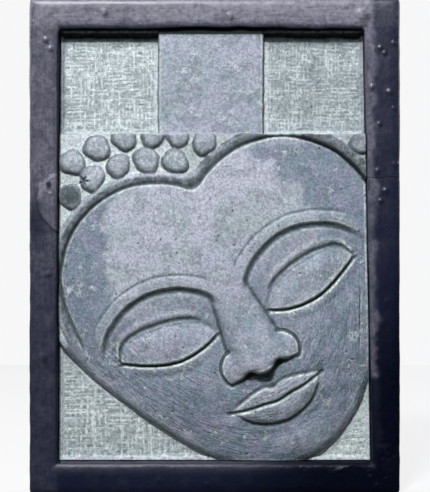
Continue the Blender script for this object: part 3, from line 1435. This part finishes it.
def stoneLines(masks, spots, flow):
    # thin dark and pale lines of the hair, the block and the ledges, drawn from their distances
    look = stoneFinish
    span = stoneSpans
    edge, nearest, lowSide = partsOf(readMask("hairLines", "Vector"))
    fromBlock, overBand, overSill = partsOf(readMask("fieldLines", "Vector"))
    fromLeft, fromRight, fromTop = partsOf(readMask("rimLines", "Vector"))
    flowAcross = partsOf(flow)[1]
    overLedge = rises(overBand, -1.0, 1.0)
    edgeWobbled = plus(edge, ranged(spots["uneven"], -0.03, 0.03))
    awayWobbled = plus(nearest, ranged(spots["uneven"], -0.04, 0.04))
    inHair = times(masks["hairZone"], rises(edge, *span["intoHair"]))
    knob = times(inHair, rises(awayWobbled, *span["knobOutline"]), rises(edge, *span["knobOffRoll"]))
    notKnob = times(inHair, minus(1.0, knob))
    rolled = times(notKnob, rises(edgeWobbled, *span["roll"]))
    between = times(notKnob, rises(edgeWobbled, *span["net"]))
    knobRing = times(knob, rises(scaledPlus(lowSide, look["ringLean"], awayWobbled), *span["knobRing"]))
    hairline = times(masks["hairZone"], nearTo(edgeWobbled, *span["hairline"]),
                     ranged(spots["broken"], 0.62, 0.92))
    overRight = times(rises(flowAcross, *span["rightLobe"]), ranged(spots["streaked"], 0.50, 0.97))
    rollFoot = times(rises(edgeWobbled, *span["rollFoot"]), ranged(spots["streaked"], 0.92, 0.50))
    rollDark = times(rolled, most(rollFoot, times(spots["broken"], look["rollMottle"]), overRight))
    hollows = times(between, most(rises(spots["uneven"], *span["hollows"]), overRight))
    blockLine = times(nearTo(fromBlock, *span["blockLine"]), rises(overBand, -0.3, 0.3))
    ledgeLine = times(nearTo(overBand, *span["ledgeLine"]), rises(fromBlock, -0.3, 0.3))
    dark = most(rollDark, hairline, rises(fromLeft, *span["leftSide"]), rises(fromTop, *span["top"]),
                times(knobRing, look["knobRingDark"]), times(hollows, look["hollowsDark"]),
                times(blockLine, look["blockLineDark"]), times(ledgeLine, look["ledgeLineDark"]),
                times(rises(fromRight, *span["rightSide"]), look["rightSideDark"]))

    besideKnob = times(between, nearTo(awayWobbled, *span["besideKnob"]))
    besideRoll = times(between, nearTo(edgeWobbled, *span["besideRoll"]))
    besideFace = times(masks["hairZone"], nearTo(edgeWobbled, *span["besideFace"]), look["hairlinePale"])
    knobBloom = times(knob, spots["knobBloom"], look["knobPale"])
    sill = times(nearTo(overSill, *span["sill"]), rises(overBand, *span["underLedge"]), look["sillPale"])
    rim = most(nearTo(fromRight, *span["rightRim"]),
               times(nearTo(fromLeft, *span["leftRim"]), look["leftRimPale"]))
    rim = times(rim, rises(overBand, *span["rimsBelow"]), ranged(spots["broken"], 0.35, 0.9))
    light = most(besideKnob, besideRoll, besideFace, knobBloom, times(between, look["netPale"]), sill, rim)
    return {"knob": knob, "overLedge": overLedge, "fromBlock": fromBlock, "fromTop": fromTop,
            "rollDark": times(rollDark, masks["front"]), "dark": times(dark, masks["front"]),
            "light": times(light, masks["front"])}


def carvedStone():
    look = stoneFinish
    span = stoneSpans
    names = ("cut", "dash", "tooled", "stain", "pale", "patina", "rasped", "knobTone", "hairZone", "front")
    material, shader, masks, spots = startFinish("carvedStone", names, stonePatches)
    flow = readMask("raspFlow", "Vector")
    lines = stoneLines(masks, spots, flow)

    # the stone itself, and the smooth places that have aged
    warm = times(spots["warm"], ranged(masks["hairZone"], 0.75, 0.30))
    base = mixColours(warm, look["coolGrey"], look["mauve"])
    base = mixColours(times(spots["green"], look["greenShare"]), base, look["greenGrey"])
    aged = times(masks["patina"], ranged(spots["aged"], 0.82, 1.0))
    aging = mixColours(times(spots["violet"], look["violetShare"]), look["patina"], look["violet"])
    base = mixColours(aged, base, aging)
    base = mixColours(times(spots["dull"], look["dullShare"]), base, look["darkGrey"])
    base = mixColours(times(masks["knobTone"], lines["knob"], look["knobShade"]), base, look["darkGrey"])

    # the tooled ground with its cuts and gaps, dingier on the upper right
    base = mixColours(masks["tooled"], base, look["field"])
    upperRight = times(rises(partsOf(bench["place"])[0], 0.04, 0.07), lines["overLedge"])
    dingy = times(masks["tooled"], upperRight, ranged(spots["dingy"], 0.25, 0.75))
    gaps = times(masks["dash"], ranged(spots["gaps"], 0.45, 1.0),
                 ranged(lines["overLedge"], look["lowerGaps"], 1.0))
    base = mixColours(gaps, base, look["gap"])
    struck = times(masks["cut"], ranged(spots["struck"], 0.30, 1.0),
                   ranged(lines["overLedge"], look["lowerStrokes"], 1.0))
    base = mixColours(struck, base, look["stroke"])
    base = mixColours(times(dingy, look["dingyShare"]), base, look["darkGrey"])

    # rubbed arrises, bloom, pale lines and thin scratches along one level of a fine noise
    rubbed = times(masks["pale"], ranged(spots["rubbed"], 0.45, 1.0))
    scratch = times(nearTo(spots["thread"], 0.50, 0.050), spots["scratched"], look["scratchShare"])
    whitened = most(rubbed, times(spots["bloom"], look["bloomShare"]), scratch,
                    times(lines["light"], ranged(spots["uneven"], 0.6, 1.0)))
    base = mixColours(whitened, base, look["pale"])

    # dirt, the dark roll, and the soot and the lit rim under the top rail
    dirty = most(times(masks["stain"], ranged(spots["dirty"], 0.80, 1.0)),
                 times(lines["dark"], ranged(spots["uneven"], 1.0, 0.75)))
    base = mixColours(times(dirty, look["dirtShare"]), base, look["stain"])
    base = mixColours(times(lines["rollDark"], look["rollShade"]), base, look["stain"])
    fromTop = lines["fromTop"]
    besideBlock = rises(lines["fromBlock"], -0.5, 0.5)
    offBlock = times(besideBlock, masks["front"])
    onBlock = times(rises(besideBlock, 1.0, 0.0), masks["front"])
    sootyGround = most(rises(fromTop, *span["soot"]), rises(fromTop, *span["sootBelow"]))
    sootyGround = times(offBlock, sootyGround, ranged(spots["uneven"], 0.97, 0.80))
    sooty = most(sootyGround, times(onBlock, rises(fromTop, *span["sootOnBlock"])))
    base = mixColours(sooty, base, look["soot"])
    rimLit = times(offBlock, rises(fromTop, *span["litRim"]), ranged(spots["uneven"], 0.3, 0.9))
    base = mixColours(rimLit, base, look["greenGrey"])

    # light and dark of the grain and the rasp, then pits and specks of rust
    rasp = times(minus(drawnOut(flow, look["raspStretch"]), 0.5), masks["rasped"])
    shade = scaledPlus(spots["grain"], look["grainShade"], look["shade"])
    shade = scaledPlus(minus(spots["sugar"], 0.5), look["sugarShade"], shade)
    shade = scaledPlus(rasp, look["raspShade"], shade)
    lit = addNode("ShaderNodeVectorMath", {0: base, "Scale": shade}, operation="SCALE").outputs[0]
    allPits = most(pitted(stonePits["coarse"]), times(pitted(stonePits["fine"]), look["finePitShare"]))
    colour = mixColours(times(allPits, look["pitShare"]), lit, look["pit"])
    colour = mixColours(times(pitted(stonePits["rust"]), look["rustShare"]), colour, look["rust"])
    feed(shader["Base Color"], colour)
    feed(shader["Roughness"], most(ranged(spots["grain"], *look["roughness"]), sooty))
    feed(shader["Specular IOR Level"], look["specular"])

    height = plus(times(rasp, look["raspHeight"]), times(spots["grain"], look["grainHeight"]))
    raiseSurface(shader, minus(height, times(allPits, look["pitDepth"])), look)
    return material


paintFinish = {
    "black": (0.0024, 0.0050, 0.0220, 1),
    "worn": (0.020, 0.022, 0.036, 1),
    "film": (0.198, 0.195, 0.245, 1),
    "dust": (0.09, 0.095, 0.115, 1),
    "crack": (0.0008, 0.0014, 0.0060, 1),
    "filmBrush": 0.30,
    "filmMottle": 0.60,
    "filmSpeckle": 0.45,
    "dustShare": 0.30,
    "edgeDark": 0.85,
    "crackDark": 0.85,
    "roughness": (0.27, 0.40),
    "raisedRoughness": 0.12,
    "filmRoughness": 0.22,
    "brushHeight": 0.16,
    "pimpleHeight": 0.40,
    "mottleHeight": 0.42,
    "levelStretch": (45, 480, 480),
    "plumbStretch": (480, 480, 45),
    "specular": 0.12,
    "specularTint": (0.80, 0.84, 1.0, 1),
    "coatRoughness": 0.36,
    "bumpStrength": 0.5,
    "bumpDistance": 0.0009,
}

paintPatches = {
    "mottle": (0.0042, 0.32, 0.68, 4.0),
    "worn": (0.006, 0.40, 0.62, 4.0),
    "speckle": (0.0016, 0.56, 0.70, 2.0),
    "settled": (0.009, 0.30, 0.65, 5.0),
    "crumbs": (0.003, 0.48, 0.62, 3.0),
    "gloss": (0.016, 0.35, 0.65, 4.0),
}

# spacing, radius and share, as for the pits in the stone
paintPimples = (0.0060, 0.45, 0.35)


def blackPaint():
    look = paintFinish
    names = ("raised", "crumbly", "upright", "film", "recess", "fromCrack", "leftEdge", "sooted")
    material, shader, masks, spots = startFinish("blackPaint", names, paintPatches)

    # brush marks run along the rails and up the stiles
    level = drawnOut(bench["place"], look["levelStretch"])
    plumb = drawnOut(bench["place"], look["plumbStretch"])
    inputs = {0: masks["upright"], 2: level, 3: plumb}
    brushed = addNode("ShaderNodeMix", inputs, data_type="FLOAT").outputs[0]

    # worn paint, its greyish film, and dust on ledges and crumbs
    base = mixColours(times(masks["raised"], spots["worn"]), look["black"], look["worn"])
    texture = plus(times(brushed, look["filmBrush"]), times(spots["mottle"], look["filmMottle"]))
    texture = plus(texture, times(spots["speckle"], look["filmSpeckle"]))
    filmed = times(masks["film"], ranged(texture, 0.40, 1.20))
    base = mixColours(filmed, base, look["film"])
    upward = partsOf(addNode("ShaderNodeNewGeometry").outputs["Normal"])[2]
    ledge = addNode("ShaderNodeMapRange", {"Value": upward, "From Min": 0.55, "From Max": 1.0}).outputs[0]
    dusty = times(most(times(ledge, spots["settled"]), times(masks["crumbly"], spots["crumbs"])),
                  look["dustShare"])
    base = mixColours(dusty, base, look["dust"])

    # the left arris, the hole, the crack and the lower right are nearly black
    inputs = {"Value": masks["fromCrack"], "From Min": 1.1, "From Max": 0.4}
    cracked = addNode("ShaderNodeMapRange", inputs).outputs[0]
    blackened = most(times(masks["leftEdge"], look["edgeDark"]), times(cracked, look["crackDark"]),
                     times(masks["sooted"], ranged(spots["mottle"], 0.80, 1.0)))
    feed(shader["Base Color"], mixColours(blackened, base, look["crack"]))

    gloss = plus(ranged(spots["gloss"], *look["roughness"]), times(masks["raised"], look["raisedRoughness"]))
    rough = most(scaledPlus(filmed, look["filmRoughness"], gloss), masks["recess"], masks["leftEdge"])
    feed(shader["Roughness"], rough)
    feed(shader["Specular IOR Level"], look["specular"])
    feed(shader["Specular Tint"], look["specularTint"])
    feed(shader["Coat Weight"], times(ranged(masks["sooted"], 0.60, 0.02), ranged(filmed, 1.0, 0.5),
                                      ranged(masks["recess"], 1.0, 0.0)))
    feed(shader["Coat Roughness"], look["coatRoughness"])

    height = plus(times(brushed, look["brushHeight"]), times(pitted(paintPimples), look["pimpleHeight"]))
    raiseSurface(shader, plus(height, times(spots["mottle"], look["mottleHeight"])), look)
    return material


# Floor, light and camera

studio = {
    "photoWidth": 430,
    "photoHeight": 492,
    "plaqueWidthInPhoto": 372.2,
    "middleInPhoto": (214.7, 246),
    "distance": 1.5,
    "sensorWidth": 36,
    "floorSize": 3.2,
    "floorGap": 0.0005,
    "floorRoughness": 0.9,
    "floorSpecular": 0.1,
    "keyPlace": (-0.34, -1.70, 1.62),
    "keySize": 0.34,
    "keyPower": 84,
    "fillPlace": (1.3, -1.8, 0.5),
    "fillSize": 1.6,
    "fillPower": 0.5,
    "sidePlaces": ((-1.7, 0.45, 0.7), (1.7, 0.45, 0.7), (0.2, 1.9, 1.1)),
    "sideSize": 0.9,
    "sidePower": 16,
    "ambient": 0.018,
    "floorSeen": 0.10,
    "floorLighting": 0.10,
    "floorGlow": 0.79,
    "background": 0.93,
}


def addLight(name, place, size, power):
    deselectAll()
    bpy.ops.object.light_add(type="AREA", location=place)
    light = bpy.context.object
    light.name = name
    light.data.size = size
    light.data.energy = power
    light.rotation_euler = (-light.location).to_track_quat("-Z", "Y").to_euler()


def seenOrLit(lit, seen):
    # one value for the light that falls on things, another for what the camera sees
    return ranged(addNode("ShaderNodeLightPath").outputs["Is Camera Ray"], lit, seen)


def buildFloor():
    deselectAll()
    place = (0, 0, frameLow.z - studio["floorGap"])
    bpy.ops.mesh.primitive_plane_add(size=studio["floorSize"], location=place)
    floor = bpy.context.object
    floor.name = "floor"
    bpy.ops.object.transform_apply(location=True, rotation=True, scale=True)
    material, shader = newMaterial("paleFloor")
    feed(shader["Base Color"], seenOrLit(studio["floorLighting"], studio["floorSeen"]))
    feed(shader["Emission Color"], (1, 1, 1, 1))
    feed(shader["Emission Strength"], seenOrLit(0.0, studio["floorGlow"]))
    feed(shader["Roughness"], studio["floorRoughness"])
    feed(shader["Specular IOR Level"], studio["floorSpecular"])
    dress(floor, material)


def lightStudio():
    addLight("key", studio["keyPlace"], studio["keySize"], studio["keyPower"])
    addLight("fill", studio["fillPlace"], studio["fillSize"], studio["fillPower"])
    for index, place in enumerate(studio["sidePlaces"]):   # for the edges and back only
        addLight("side" + str(index), place, studio["sideSize"], studio["sidePower"])
    world = bpy.data.worlds.new("paleStudio")
    bpy.context.scene.world = world
    world.use_nodes = True
    bench["tree"] = world.node_tree
    sky = world.node_tree.nodes["Background"].inputs
    feed(sky["Color"], (1, 1, 1, 1))
    feed(sky["Strength"], seenOrLit(studio["ambient"], studio["background"]))
    arrangeNodes()
    bpy.context.scene.view_settings.view_transform = "Standard"


def placeCamera():
    # as far off as the photo was taken, with the plaque as wide and in the same place in the frame
    perPixel = (frameHigh.x - frameLow.x) / studio["plaqueWidthInPhoto"]
    middleX = (studio["photoWidth"] / 2 - studio["middleInPhoto"][0]) * perPixel
    middleZ = (studio["middleInPhoto"][1] - studio["photoHeight"] / 2) * perPixel
    deselectAll()
    place = (middleX, frameLow.y - studio["distance"], middleZ)
    bpy.ops.object.camera_add(location=place, rotation=(radians(90), 0, 0))
    camera = bpy.context.object
    camera.data.sensor_fit = "HORIZONTAL"
    camera.data.sensor_width = studio["sensorWidth"]
    camera.data.lens = studio["sensorWidth"] * studio["distance"] / (studio["photoWidth"] * perPixel)
    bpy.context.scene.camera = camera


# The part, piece by piece

panelPiece = buildPanel()
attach(panelPiece, "root")
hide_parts("carved_panel")
surroundPiece = buildSurround()
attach(surroundPiece, "root")
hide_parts("frame")
print("pieces placed")

groups = {"patches": patchesGroup(), "pits": pitsGroup(), "streaks": streaksGroup()}
dress(panelPiece, carvedStone())
dress(surroundPiece, blackPaint())
print("materials made")

buildFloor()
lightStudio()
placeCamera()
print("studio set up")

print("sizes written")
